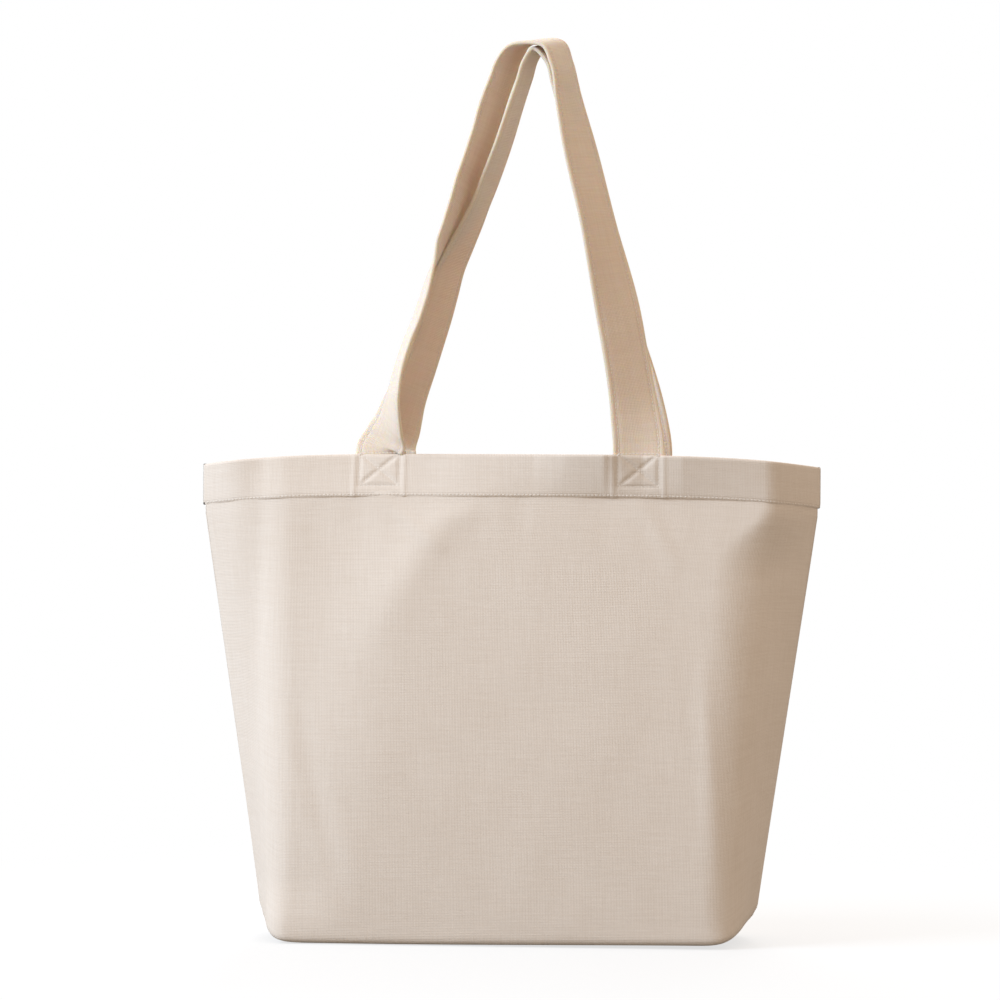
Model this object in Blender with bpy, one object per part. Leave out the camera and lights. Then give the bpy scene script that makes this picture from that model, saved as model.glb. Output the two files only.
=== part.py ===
"""Plain canvas tote bag with boxed bottom corners, a folded hem and two strap handles.

The bag stands on its base with both handles raised and leaning together.
Metres, +Z up. The origin is the middle of the base, +X runs across the bag and the front is at -Y.
"""

import math

import bmesh
import bpy
import numpy as np
from mathutils import Vector

# Body
RIM_HEIGHT = 0.380          # base to rim at the middle of the mouth
MOUTH_WIDTH = 0.480         # side seam to side seam just under the hem
MOUTH_DEPTH = 0.062         # front to back across the open mouth
BASE_WIDTH = 0.383          # side seam to side seam at the base
BASE_DEPTH = 0.118          # front fold to back fold of the boxed base
CORNER_PLACE = 0.180        # the upright corners stand this far from the middle at every height
TAPER_TOP = 0.330           # the sides lean out up to here and stand straight above it
CANVAS = 0.0012             # one layer of heavy canvas

# Hem
HEM_HEIGHT = 0.030
HEM_THICKNESS = 0.0036      # three layers of canvas
HEM_PROUD = 0.0016          # the hem stands this far outside the panel below it
HEM_STITCH_UP = 0.0012      # the row of stitches above the hem line
RIM_DROOP = 0.0072          # the rim hangs lower at the side seams than at the middle
HEM_LINE_DROOP = 0.0028

# Boxed corners
CORNER_LIFT = 0.022         # the side seam lifts the middle of each corner seam off the floor
LIFT_START = 0.150          # the base is flat inside this half width
FOLD_RADIUS = 0.004         # round fold between the walls and the base
CORNER_TIGHTEST = 0.012     # radius of the soft upright corners at the base
CORNER_SOFTEST = 0.045      # and at the rim
BULGE = 2.5                 # above 2 the walls stay full and close in quickly under the rim
BASE_SEAM_SHORT = 0.012     # the centre seam of the base stops this far short of the corner seams

# Handles
STRAP_WIDTH = 0.040
STRAP_THICKNESS = 0.0030
BASE_SPACING = 0.101        # half the distance between the two sewn ends of a handle
FRONT_SHIFT = 0.0005        # how far each handle is sewn off the middle of the bag
BACK_SHIFT = 0.0045
SEWN_LENGTH = 0.0275        # strap inside the hem
BOX_STITCH_WIDTH = 0.0315
BOX_STITCH_HEIGHT = 0.0255
BOX_STITCH_BOTTOM = 0.0022  # above the hem line
ANKLE = 0.004               # the straps leave the hem straight up for this far
ANKLE_TURN = 20             # and have begun to twist by this much there, in degrees
CROWN_TILT = math.radians(9)    # the far edge of each handle rides higher at the top
HINGE_DEPTH = 0.034         # the handles swing about the rim, this far from the middle of the bag

# Seams and thread
SEAM_ALLOWANCE = 0.010      # cloth edge left inside each seam
SEAM_THICKNESS = 0.0024     # two layers
SEAM_CLEAR = 0.016          # the loose edges of the seams stop this far short of each other
SEAM_ROWS = 12
THREAD = 0.0008
GAP = 0.0003                # clearance between separate pieces that touch

# Mesh density
WARP_COLUMNS = 30           # across one panel, from side seam to side seam
WALL_ROWS = 9
BASE_ROWS = 4
STRAP_STEPS = 110
OUTLINE_STEPS = 30          # points round each soft corner of an outline

# Routes of the handles' centre lines: x, y, z, and the turn of the strap about the upright, in
# degrees. Both straps turn about a quarter between the hem and the top, where one lies over the
# other.
FRONT_ROUTE = (
    (-0.0978, -0.0260, 0.400, 54),
    (-0.0918, -0.0245, 0.421, 66),
    (-0.0788, -0.0195, 0.469, 79),
    (-0.0664, -0.0135, 0.505, 82),
    (-0.0478, -0.0020, 0.564, 100),
    (-0.0332, 0.0040, 0.605, 107),
    (-0.0145, 0.0090, 0.655, 109),
    (-0.0065, 0.0095, 0.681, 110),
    (0.0025, 0.0060, 0.697, 110),
    (0.0185, 0.0000, 0.705, 109),
    (0.0320, -0.0050, 0.7005, 108),
    (0.0398, -0.0080, 0.686, 108),
    (0.0437, -0.0095, 0.656, 112),
    (0.0535, -0.0130, 0.618, 126),
    (0.0700, -0.0180, 0.556, 134),
    (0.0893, -0.0225, 0.461, 145),
    (0.0985, -0.0250, 0.412, 157),
)
BACK_ROUTE = (
    (-0.0915, 0.0265, 0.400, 28),
    (-0.0823, 0.0265, 0.421, 48),
    (-0.0661, 0.0285, 0.469, 52),
    (-0.0537, 0.0285, 0.505, 56),
    (-0.0322, 0.0210, 0.564, 67),
    (-0.0163, 0.0165, 0.605, 71),
    (0.0010, 0.0110, 0.655, 74),
    (0.0100, 0.0080, 0.6835, 74),
    (0.0225, 0.0030, 0.6975, 73),
    (0.0330, 0.0010, 0.689, 73),
    (0.0375, 0.0010, 0.670, 73),
    (0.0490, 0.0085, 0.618, 82),
    (0.0800, 0.0170, 0.508, 122),
    (0.1020, 0.0250, 0.421, 152),
)

CANVAS_COLOUR = (0.72, 0.60, 0.47)
STRAP_COLOUR = (0.66, 0.53, 0.38)
THREAD_COLOUR = (0.80, 0.70, 0.57)
SEAM_COLOUR = (0.60, 0.48, 0.34)


def clear_scene():
    for item in list(bpy.data.objects):
        bpy.data.objects.remove(item, do_unlink=True)


def cloth_material(name, colour):
    material = bpy.data.materials.new(name)
    material.use_nodes = True
    shader = material.node_tree.nodes["Principled BSDF"]
    shader.inputs["Base Color"].default_value = (*colour, 1.0)
    shader.inputs["Roughness"].default_value = 0.92
    shader.inputs["Metallic"].default_value = 0.0
    material.diffuse_color = (*colour, 1.0)
    return material


# --- the shape of the bag -------------------------------------------------

def half_width(z):
    """Distance from the middle of the bag to its side seam at height z."""
    lean = (MOUTH_WIDTH - BASE_WIDTH) / 2
    return MOUTH_WIDTH / 2 - lean * max(0.0, 1.0 - z / TAPER_TOP)


def half_depth(z):
    """Distance from the middle of the bag to the flat of its front at height z."""
    rise = min(max(z / RIM_HEIGHT, 0.0), 1.0)
    return (MOUTH_DEPTH + (BASE_DEPTH - MOUTH_DEPTH) * (1.0 - rise ** BULGE)) / 2


def corner_radius(z):
    """The upright corners are tight at the base and soft towards the rim."""
    return CORNER_TIGHTEST + (CORNER_SOFTEST - CORNER_TIGHTEST) * math.sqrt(z / RIM_HEIGHT)


def half_outline(z):
    """Front half of the bag's outline at height z, right side seam to left, as x, y points."""
    wide, deep, radius = half_width(z), half_depth(z), corner_radius(z)
    turn = side_angle(z)
    steps = np.linspace(0.0, turn, OUTLINE_STEPS)
    arc_x = CORNER_PLACE - radius * math.tan(turn / 2) + radius * np.sin(steps)
    arc_y = -deep + radius * (1.0 - np.cos(steps))
    x = np.concatenate(([0.0], arc_x, [wide]))
    y = np.concatenate(([-deep], arc_y, [0.0]))
    return np.concatenate((x[::-1], -x[1:])), np.concatenate((y[::-1], y[1:]))


def warp_places(z, columns):
    """The outline at height z cut into equal lengths, where the warp threads of a panel stand."""
    x, y = half_outline(z)
    run = np.concatenate(([0.0], np.cumsum(np.hypot(np.diff(x), np.diff(y)))))
    stops = np.linspace(0.0, run[-1], columns + 1)
    return np.interp(stops, run, x), np.interp(stops, run, y)


def front_face(x, z):
    """The y of the panel's outer face at x and height z."""
    outline_x, outline_y = half_outline(z)
    return float(np.interp(x, outline_x[::-1], outline_y[::-1]))


def side_face(y, z):
    """Distance from the middle of the bag to the outer face of its side at depth y and height z."""
    outline_x, outline_y = half_outline(z)
    quarter = len(outline_x) // 2
    return float(np.interp(abs(y), -outline_y[:quarter], outline_x[:quarter]))


def side_angle(z):
    """Angle at the side seam between one panel and the middle plane of the bag."""
    return math.atan2(half_depth(z), half_width(z) - CORNER_PLACE)


def droop(x):
    """0 at the middle of the bag and 1 at its side seams."""
    return min(abs(x) / (MOUTH_WIDTH / 2), 1.0) ** 4


def rim_line(x):
    return RIM_HEIGHT - RIM_DROOP * droop(x)


def hem_line(x):
    return RIM_HEIGHT - HEM_HEIGHT - HEM_LINE_DROOP * droop(x)


def corner_seam_lift(y):
    """Height of the bottom edge: 0 along the front fold, highest at the side seam."""
    return CORNER_LIFT * max(0.0, 1.0 - (y / half_depth(0.0)) ** 2)


def corner_seam_x(y):
    """Distance of the corner seam from the middle of the bag at depth y."""
    bow = half_width(CORNER_LIFT) - CORNER_PLACE
    return CORNER_PLACE + bow * corner_seam_lift(y) / CORNER_LIFT


def base_height(x, y):
    """The base is flat and curls up at both ends to meet the corner seams."""
    ramp = min(max((abs(x) - LIFT_START) / (corner_seam_x(y) - LIFT_START), 0.0), 1.0)
    return corner_seam_lift(y) * ramp ** 2


# --- mesh helpers ---------------------------------------------------------

def new_object(name, bm, material, smooth=True):
    mesh = bpy.data.meshes.new(name)
    bm.to_mesh(mesh)
    bm.free()
    mesh.materials.append(material)
    if smooth:
        mesh.shade_smooth()
        mesh.set_sharp_from_angle(angle=math.radians(40))
    item = bpy.data.objects.new(name, mesh)
    bpy.context.collection.objects.link(item)
    return item


def skin(bm, rows):
    """Join rows of points with quads and return the rows of vertices."""
    grid = [[bm.verts.new(point) for point in row] for row in rows]
    for upper, lower in zip(grid, grid[1:]):
        for i in range(len(upper) - 1):
            bm.faces.new((upper[i], upper[i + 1], lower[i + 1], lower[i]))
    return grid


def thicken(bm, grid, thickness, centre_gap):
    """Give the skinned cloth its thickness on the inside and close its four edges."""
    bm.normal_update()
    inner = []
    for row in grid:
        line = []
        for vert in row:
            place = vert.co - vert.normal * thickness
            place.y = min(place.y, -centre_gap)
            line.append(bm.verts.new(place))
        inner.append(line)
    for upper, lower in zip(inner, inner[1:]):
        for i in range(len(upper) - 1):
            bm.faces.new((upper[i], lower[i], lower[i + 1], upper[i + 1]))
    border = [(grid[0], inner[0]), (grid[-1][::-1], inner[-1][::-1])]
    border.append(([row[-1] for row in grid], [row[-1] for row in inner]))
    border.append(([row[0] for row in grid][::-1], [row[0] for row in inner][::-1]))
    for outside, inside in border:
        for i in range(len(outside) - 1):
            bm.faces.new((outside[i], inside[i], inside[i + 1], outside[i + 1]))


def mirror_to_back(bm):
    """Turn a front piece into its twin at the back."""
    for vert in bm.verts:
        vert.co.y = -vert.co.y
    bmesh.ops.reverse_faces(bm, faces=bm.faces)


def sweep_strip(bm, centres, across, through, width, thickness):
    """A flat strip along a route, with its width and thickness directions at every point."""
    rings = []
    for centre, wide, thick in zip(centres, across, through):
        half_w = wide * (width / 2)
        half_t = thick * (thickness / 2)
        corners = (half_w + half_t, half_t - half_w, -half_w - half_t, half_w - half_t)
        rings.append([bm.verts.new(centre + corner) for corner in corners])
    for (a, b, c, d), (e, f, g, h) in zip(rings, rings[1:]):
        bm.faces.new((b, c, g, f))
        bm.faces.new((d, a, e, h))
        # the two wide faces are cut along the same diagonal, so that a twisted strip keeps its thickness
        for triangle in ((a, b, f), (a, f, e), (c, d, g), (d, h, g)):
            bm.faces.new(triangle)
    bm.faces.new(rings[0][::-1])
    bm.faces.new(rings[-1])
    bmesh.ops.recalc_face_normals(bm, faces=bm.faces)


# --- panels and hems ------------------------------------------------------

def wall_rows():
    """Rows of a panel's outer face from the hem line down to the bottom fold."""
    rows = []
    base_y = warp_places(0.0, WARP_COLUMNS)[1]
    rim_x = warp_places(RIM_HEIGHT, WARP_COLUMNS)[0]
    for step in range(WALL_ROWS + 1):
        share = 1.0 - step / WALL_ROWS
        row = []
        for column in range(WARP_COLUMNS + 1):
            low = corner_seam_lift(base_y[column]) + FOLD_RADIUS
            high = hem_line(rim_x[column]) - GAP
            z = low + (high - low) * share
            x, y = warp_places(z, WARP_COLUMNS)
            row.append(Vector((x[column], min(y[column], -GAP / 2), z)))
        rows.append(row)
    return rows


def base_rows(last_wall_row):
    """Rows from the bottom fold in to the centre seam of the base."""
    reach = half_width(CORNER_LIFT) - BASE_SEAM_SHORT
    narrower = 1.0 - FOLD_RADIUS / half_width(0.0)
    shallower = 1.0 - FOLD_RADIUS / half_depth(0.0)
    rows = []
    for step in range(BASE_ROWS + 1):
        share = step / BASE_ROWS
        row = []
        for column, above in enumerate(last_wall_row):
            along = 1.0 - 2.0 * column / WARP_COLUMNS
            fold = Vector((above.x * narrower, above.y * shallower))
            seam = Vector((reach * math.sin(along * math.pi / 2), -GAP / 2))
            x, y = fold.lerp(seam, share)
            y = min(y, -GAP / 2)
            row.append(Vector((x, y, base_height(x, y))))
        rows.append(row)
    return rows


def make_panel(name, material, back=False):
    """One canvas panel: front wall, half of each side and half of the base."""
    bm = bmesh.new()
    walls = wall_rows()
    grid = skin(bm, walls + base_rows(walls[-1]))
    thicken(bm, grid, CANVAS, GAP / 2)
    if back:
        mirror_to_back(bm)
    return new_object(name, bm, material)


def hem_point(column, share):
    """Outer face of the hem, share 0 at the hem line and 1 at the rim."""
    outline_x, outline_y = warp_places(RIM_HEIGHT, WARP_COLUMNS)
    x, y = outline_x[column], outline_y[column]
    wider = 1.0 + HEM_PROUD / (MOUTH_WIDTH / 2)
    deeper = 1.0 + HEM_PROUD / (MOUTH_DEPTH / 2)
    z = hem_line(x) + (rim_line(x) - hem_line(x)) * share
    return Vector((x * wider, min(y * deeper, -GAP / 2), z))


def make_hem(name, material, back=False):
    """The folded and stitched top edge of one panel."""
    bm = bmesh.new()
    rows = [[hem_point(c, share) for c in range(WARP_COLUMNS + 1)] for share in (1.0, 0.5, 0.0)]
    grid = skin(bm, rows)
    thicken(bm, grid, HEM_THICKNESS, GAP / 2)
    if back:
        mirror_to_back(bm)
    return new_object(name, bm, material)


def hem_stitch(name, material, back=False):
    """The row of stitches that holds the hem down, a thin line of thread on its outer face."""
    bm = bmesh.new()
    side = 1.0 if back else -1.0
    centres, outward = [], []
    for column in range(WARP_COLUMNS + 1):
        before = hem_point(max(column - 1, 0), 0.0)
        after = hem_point(min(column + 1, WARP_COLUMNS), 0.0)
        normal = Vector((before.y - after.y, after.x - before.x, 0.0)).normalized()
        place = hem_point(column, 0.0) + normal * (2 * GAP + THREAD / 2)
        place.z += HEM_STITCH_UP
        centres.append(Vector((place.x, place.y * -side, place.z)))
        outward.append(Vector((normal.x, normal.y * -side, 0.0)))
    across = [Vector((0.0, 0.0, 1.0))] * len(centres)
    sweep_strip(bm, centres, across, outward, THREAD, THREAD * 0.6)
    return new_object(name, bm, material)


# --- handles --------------------------------------------------------------

def strap_depth(x):
    """Distance from the middle of the bag to a strap sewn flat inside the hem with its middle at x."""
    edge = abs(x) + STRAP_WIDTH / 2
    inside = -front_face(edge, RIM_HEIGHT) + HEM_PROUD - HEM_THICKNESS
    return inside - 3 * GAP - STRAP_THICKNESS / 2


def smooth_route(stations, steps):
    """Evenly spaced points on a smooth curve through the stations."""
    knots = np.array(stations, dtype=float)
    run = np.concatenate(([0.0], np.cumsum(np.linalg.norm(np.diff(knots[:, :3], axis=0), axis=1))))
    slope = np.gradient(knots, run, axis=0)
    points = []
    for stop in np.linspace(0.0, run[-1], steps + 1):
        i = min(int(np.searchsorted(run, stop, side="right")) - 1, len(run) - 2)
        span = run[i + 1] - run[i]
        t = (stop - run[i]) / span
        rise = t * t * (3 - 2 * t)
        between = knots[i] * (1 - rise) + knots[i + 1] * rise
        pull = slope[i] * t * (1 - t) ** 2 + slope[i + 1] * t * t * (t - 1)
        points.append(between + pull * span)
    return np.array(points)


def handle_stations(route, shift, side):
    """Add the two ends, which leave the hem straight up, to a handle's route."""
    depth = side * strap_depth(BASE_SPACING + shift)
    foot, ankle = RIM_HEIGHT + GAP, RIM_HEIGHT + ANKLE
    left, right = shift - BASE_SPACING, shift + BASE_SPACING
    start = ((left, depth, foot, 0), (left, depth, ankle, ANKLE_TURN))
    end = ((right, depth, ankle, 180), (right, depth, foot, 180))
    return start + route + end


def make_handle(name, route, shift, side, material):
    """One strap loop above the rim, with its origin on the line it swings about.

    side is -1 for the front handle and 1 for the back one.
    """
    points = smooth_route(handle_stations(route, shift, side), STRAP_STEPS)
    centres = [Vector(point[:3]) for point in points]
    across, through = [], []
    for i, point in enumerate(points):
        tangent = (centres[min(i + 1, STRAP_STEPS)] - centres[max(i - 1, 0)]).normalized()
        turn = side * math.radians(point[3])
        flat = math.cos(CROWN_TILT)
        wide = Vector((math.cos(turn) * flat, math.sin(turn) * flat, side * math.sin(CROWN_TILT)))
        wide = (wide - tangent * wide.dot(tangent)).normalized()
        if i in (0, STRAP_STEPS):
            wide = Vector((math.cos(turn), 0.0, 0.0))
            tangent = Vector((0.0, 0.0, 1.0 if i == 0 else -1.0))
        across.append(wide)
        through.append(tangent.cross(wide))
    bm = bmesh.new()
    sweep_strip(bm, centres, across, through, STRAP_WIDTH, STRAP_THICKNESS)
    hinge = Vector((0.0, side * HINGE_DEPTH, RIM_HEIGHT))
    bmesh.ops.translate(bm, vec=-hinge, verts=bm.verts)
    handle = new_object(name, bm, material)
    handle.location = hinge
    return handle


def make_sewn_end(name, x, side, material):
    """The end of a strap, sewn flat to the inside of the hem."""
    bm = bmesh.new()
    bmesh.ops.create_cube(bm, size=1.0)
    bmesh.ops.scale(bm, vec=(STRAP_WIDTH, STRAP_THICKNESS, SEWN_LENGTH), verts=bm.verts)
    middle = Vector((x, side * strap_depth(x), RIM_HEIGHT - GAP - SEWN_LENGTH / 2))
    bmesh.ops.translate(bm, vec=middle, verts=bm.verts)
    return new_object(name, bm, material, smooth=False)


def make_box_stitch(name, x, side, material):
    """The stitched square with a cross in it that holds a strap end, a raised pattern of thread."""
    half_w, half_h = BOX_STITCH_WIDTH / 2, BOX_STITCH_HEIGHT / 2
    signs = ((-1, -1), (1, -1), (1, 1), (-1, 1))
    middle_z = hem_line(x) + BOX_STITCH_BOTTOM + half_h
    face_y = front_face(x, RIM_HEIGHT) - HEM_PROUD - 2 * GAP

    def corner(u, v):
        return bm.verts.new((x + u, face_y, middle_z + v))

    bm = bmesh.new()
    outer = [corner(a * half_w, b * half_h) for a, b in signs]
    holes = []
    for k, (a, b) in enumerate(signs):
        c, d = signs[(k + 1) % 4]
        level = b == d
        inset_w = half_w - (2 if level else 1) * THREAD
        inset_h = half_h - (1 if level else 2) * THREAD
        tip = (0.0, b * THREAD) if level else (a * THREAD, 0.0)
        holes.append([corner(a * inset_w, b * inset_h), corner(c * inset_w, d * inset_h), corner(*tip)])
    for k in range(4):
        before = holes[k - 1]
        bm.faces.new((outer[k], outer[(k + 1) % 4], holes[k][1], holes[k][0]))
        bm.faces.new((outer[k], holes[k][0], holes[k][2], before[2], before[1]))
    bm.faces.new([hole[2] for hole in holes])
    raised = bmesh.ops.extrude_face_region(bm, geom=bm.faces[:])
    lifted = [item for item in raised["geom"] if isinstance(item, bmesh.types.BMVert)]
    bmesh.ops.translate(bm, vec=(0.0, -THREAD * 0.6, 0.0), verts=lifted)
    bmesh.ops.recalc_face_normals(bm, faces=bm.faces)
    if side > 0:
        mirror_to_back(bm)
    return new_object(name, bm, material, smooth=False)


# --- seams inside the bag -------------------------------------------------

def make_side_seam(name, side, material):
    """The two cloth edges left inside a side seam, standing in towards the middle of the bag."""
    low, high = CORNER_LIFT + SEAM_CLEAR, hem_line(MOUTH_WIDTH / 2) - SEAM_CLEAR / 4
    centres = []
    for step in range(SEAM_ROWS + 1):
        z = low + (high - low) * step / SEAM_ROWS
        angle = side_angle(z)
        clear = SEAM_THICKNESS / 2 + 3 * GAP + CANVAS / math.cos(angle)
        inset = clear / math.tan(angle) + CANVAS + SEAM_ALLOWANCE / 2
        centres.append(Vector((side * (half_width(z) - inset), 0.0, z)))
    bm = bmesh.new()
    across = [Vector((1.0, 0.0, 0.0))] * len(centres)
    through = [Vector((0.0, 1.0, 0.0))] * len(centres)
    sweep_strip(bm, centres, across, through, SEAM_ALLOWANCE, SEAM_THICKNESS)
    return new_object(name, bm, material)


def make_corner_seam(name, side, material):
    """The cloth edges left inside a boxed corner, which cross the end of the base."""
    reach = half_depth(0.0) - SEAM_CLEAR
    slope = math.sqrt(0.5)
    half_size = (SEAM_ALLOWANCE + SEAM_THICKNESS) / 2 * slope
    centres = []
    for step in range(SEAM_ROWS + 1):
        y = reach * (2 * step / SEAM_ROWS - 1)
        z = corner_seam_lift(y) + half_size + 2 * CANVAS + GAP
        x = side_face(y, z - half_size) - half_size - 2 * CANVAS - GAP
        centres.append(Vector((side * x, y, z)))
    bm = bmesh.new()
    across = [Vector((-side * slope, 0.0, slope))] * len(centres)
    through = [Vector((side * slope, 0.0, slope))] * len(centres)
    sweep_strip(bm, centres, across, through, SEAM_ALLOWANCE, SEAM_THICKNESS)
    return new_object(name, bm, material)


def make_bottom_seam(name, material):
    """The cloth edges of the seam that joins the two panels, pressed flat along the base."""
    reach = LIFT_START - 2 * SEAM_ALLOWANCE
    z = CANVAS + 2 * GAP + SEAM_THICKNESS / 2
    bm = bmesh.new()
    centres = [Vector((-reach, 0.0, z)), Vector((reach, 0.0, z))]
    across = [Vector((0.0, 1.0, 0.0))] * 2
    through = [Vector((0.0, 0.0, 1.0))] * 2
    sweep_strip(bm, centres, across, through, 2 * SEAM_ALLOWANCE, SEAM_THICKNESS)
    return new_object(name, bm, material)


def main():
    clear_scene()
    canvas = cloth_material("natural_canvas", CANVAS_COLOUR)
    strap = cloth_material("strap_canvas", STRAP_COLOUR)
    thread = cloth_material("sewing_thread", THREAD_COLOUR)
    seam = cloth_material("seam_edges", SEAM_COLOUR)

    halves = (("front", -1, FRONT_SHIFT, FRONT_ROUTE), ("back", 1, BACK_SHIFT, BACK_ROUTE))
    for label, side, shift, route in halves:
        back = side > 0
        make_panel(label + "_panel", canvas, back)
        make_hem(label + "_hem", canvas, back)
        hem_stitch(label + "_hem_stitch", thread, back)
        make_handle(label + "_handle", route, shift, side, strap)
        for end, place in (("left", shift - BASE_SPACING), ("right", shift + BASE_SPACING)):
            make_sewn_end(f"{label}_handle_{end}_end", place, side, strap)
            make_box_stitch(f"{label}_{end}_box_stitch", place, side, thread)
    for label, side in (("left", -1), ("right", 1)):
        make_side_seam(label + "_side_seam", side, seam)
        make_corner_seam(label + "_corner_seam", side, seam)
    make_bottom_seam("bottom_seam", seam)


main()
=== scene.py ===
# %% [markdown]
# # A plain canvas tote bag
# This lesson builds a natural cotton tote: two canvas panels, a folded hem, two strap handles that
# lean together at the top, the stitching that holds them and the seam edges inside.
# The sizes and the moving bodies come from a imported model, so every piece is placed from that model's
# boxes. Metres, +Z up, the front of the bag at -Y.

# %% Load the frame
import math

import bmesh
import bpy
import numpy as np
from mathutils import Matrix, Vector, noise


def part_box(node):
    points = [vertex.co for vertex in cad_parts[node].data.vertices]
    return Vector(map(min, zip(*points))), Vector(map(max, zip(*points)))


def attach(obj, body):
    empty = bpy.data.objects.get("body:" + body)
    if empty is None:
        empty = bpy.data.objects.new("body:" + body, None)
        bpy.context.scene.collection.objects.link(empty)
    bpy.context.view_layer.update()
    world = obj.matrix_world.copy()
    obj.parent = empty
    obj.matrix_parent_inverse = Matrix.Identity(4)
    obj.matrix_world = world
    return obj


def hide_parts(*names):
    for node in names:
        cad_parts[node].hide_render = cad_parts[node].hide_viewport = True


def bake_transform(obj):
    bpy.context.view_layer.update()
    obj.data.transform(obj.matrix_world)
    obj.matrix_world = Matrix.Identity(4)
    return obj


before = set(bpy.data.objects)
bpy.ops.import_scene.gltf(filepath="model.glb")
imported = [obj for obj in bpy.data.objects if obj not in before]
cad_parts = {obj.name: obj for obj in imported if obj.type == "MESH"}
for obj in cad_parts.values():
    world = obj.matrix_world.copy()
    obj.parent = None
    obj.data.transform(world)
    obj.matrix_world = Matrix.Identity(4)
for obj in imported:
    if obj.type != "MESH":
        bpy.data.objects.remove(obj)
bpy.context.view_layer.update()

# %% [markdown]
# ## Camera
# A bag is best seen level, from about three metres, with a long lens, so the sides hardly converge.
# The camera stands a few degrees to one side. It comes first, because everything that follows is
# judged through it.

# %% Camera
CAMERA_YAW = math.radians(4.3)
CAMERA_ROLL = math.radians(0.35)
CAMERA_DISTANCE = 3.0
VIEW_WIDTH = 0.780          # width of the view at the middle of the bag
SENSOR = 36.0
SHIFT_X, SHIFT_Y = -0.010, -0.0045
LOOK_AT = Vector((0.0, 0.0, 0.345))

camera_data = bpy.data.cameras.new("camera")
camera_data.sensor_width = SENSOR
camera_data.lens = SENSOR * CAMERA_DISTANCE / VIEW_WIDTH
camera_data.shift_x = SHIFT_X
camera_data.shift_y = SHIFT_Y
camera = bpy.data.objects.new("camera", camera_data)
bpy.context.collection.objects.link(camera)
step_back = Vector((math.sin(CAMERA_YAW), -math.cos(CAMERA_YAW), 0.0)) * CAMERA_DISTANCE
camera.location = LOOK_AT + step_back
camera.rotation_euler = (-step_back).to_track_quat("-Z", "Y").to_euler()
camera.rotation_euler.rotate_axis("Z", CAMERA_ROLL)
bpy.context.scene.camera = camera
bpy.context.scene.view_settings.view_transform = "Standard"
print("lens", round(camera_data.lens, 1), "mm")

# %% [markdown]
# ## One helper for material nodes
# Every material below is a small network. One function adds a node, sets its properties and feeds its
# inputs, either with a value or with another node's output, so a network reads from top to bottom.

# %% Node and colour helpers
def add_node(tree, kind, inputs=None, **settings):
    """Add one node with its settings, and feed its inputs with values or other nodes' sockets."""
    node = tree.nodes.new(kind)
    for name, value in settings.items():
        setattr(node, name, value)
    for key, value in (inputs or {}).items():
        if isinstance(value, bpy.types.NodeSocket):
            tree.links.new(value, node.inputs[key])
        else:
            node.inputs[key].default_value = value
    return node


def linear(hex_colour):
    """An sRGB hex colour as linear RGBA."""
    channels = [int(hex_colour[i:i + 2], 16) / 255 for i in (1, 3, 5)]
    return tuple(c / 12.92 if c <= 0.04045 else ((c + 0.055) / 1.055) ** 2.4 for c in channels) + (1.0,)


def blank_material(name):
    """A new material with an empty node tree."""
    material = bpy.data.materials.new(name)
    material.use_nodes = True
    material.node_tree.nodes.clear()
    return material, material.node_tree


def smooth_step(value, low, high):
    """0 below low, 1 above high, and a smooth rise between."""
    t = min(max((value - low) / (high - low), 0.0), 1.0)
    return t * t * (3.0 - 2.0 * t)


# %% [markdown]
# ## Studio
# One large soft lamp stands in front and to the left, a weaker one behind, and a dim warm room fills
# the shade, which is why the shaded side of natural cotton goes honey brown. The camera sees a white
# room and an almost white floor through Light Path, while the floor lights the bag as a grey one
# would and still keeps its shadow.

# %% Lamps
LAMP_AIM = Vector((0.0, 0.0, 0.30))


def soft_lamp(name, azimuth, elevation, distance, size, power, colour):
    """A square soft box; azimuth 0 is straight in front of the bag, positive to its right."""
    data = bpy.data.lights.new(name, "AREA")
    data.shape = "SQUARE"
    data.size = size
    data.energy = power
    data.color = colour
    lamp = bpy.data.objects.new(name, data)
    bpy.context.collection.objects.link(lamp)
    turn, lift = math.radians(azimuth), math.radians(elevation)
    away = Vector((math.sin(turn) * math.cos(lift), -math.cos(turn) * math.cos(lift), math.sin(lift)))
    lamp.location = LAMP_AIM + away * distance
    lamp.rotation_euler = (-away).to_track_quat("-Z", "Y").to_euler()
    return lamp


soft_lamp("key_lamp", azimuth=-62, elevation=26, distance=3.3, size=1.5, power=106.0,
          colour=(0.65, 0.81, 1.0))
soft_lamp("back_lamp", azimuth=176, elevation=38, distance=2.4, size=1.4, power=26.0,
          colour=(0.92, 0.95, 1.0))

# %% Room
ROOM_COLOUR = (0.79, 0.665, 0.555, 1.0)
WHITE = (1.0, 1.0, 1.0, 1.0)


def seen_share(tree):
    """1 where a surface is seen, straight or by way of metal or glass, and 0 where it gives light."""
    path = add_node(tree, "ShaderNodeLightPath")
    seen = add_node(tree, "ShaderNodeMath",
                    {0: path.outputs["Is Camera Ray"], 1: path.outputs["Is Glossy Ray"]},
                    operation="MAXIMUM")
    through = add_node(tree, "ShaderNodeMath",
                       {0: seen.outputs[0], 1: path.outputs["Is Transmission Ray"]},
                       operation="MAXIMUM")
    return through.outputs[0]


world = bpy.data.worlds.new("studio_room")
bpy.context.scene.world = world
world.use_nodes = True
world.node_tree.nodes.clear()
room = add_node(world.node_tree, "ShaderNodeBackground", {"Color": ROOM_COLOUR, "Strength": 1.0})
white = add_node(world.node_tree, "ShaderNodeBackground", {"Color": WHITE, "Strength": 1.0})
either = add_node(world.node_tree, "ShaderNodeMixShader",
                  {0: seen_share(world.node_tree), 1: room.outputs[0], 2: white.outputs[0]})
add_node(world.node_tree, "ShaderNodeOutputWorld", {"Surface": either.outputs[0]})

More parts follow.
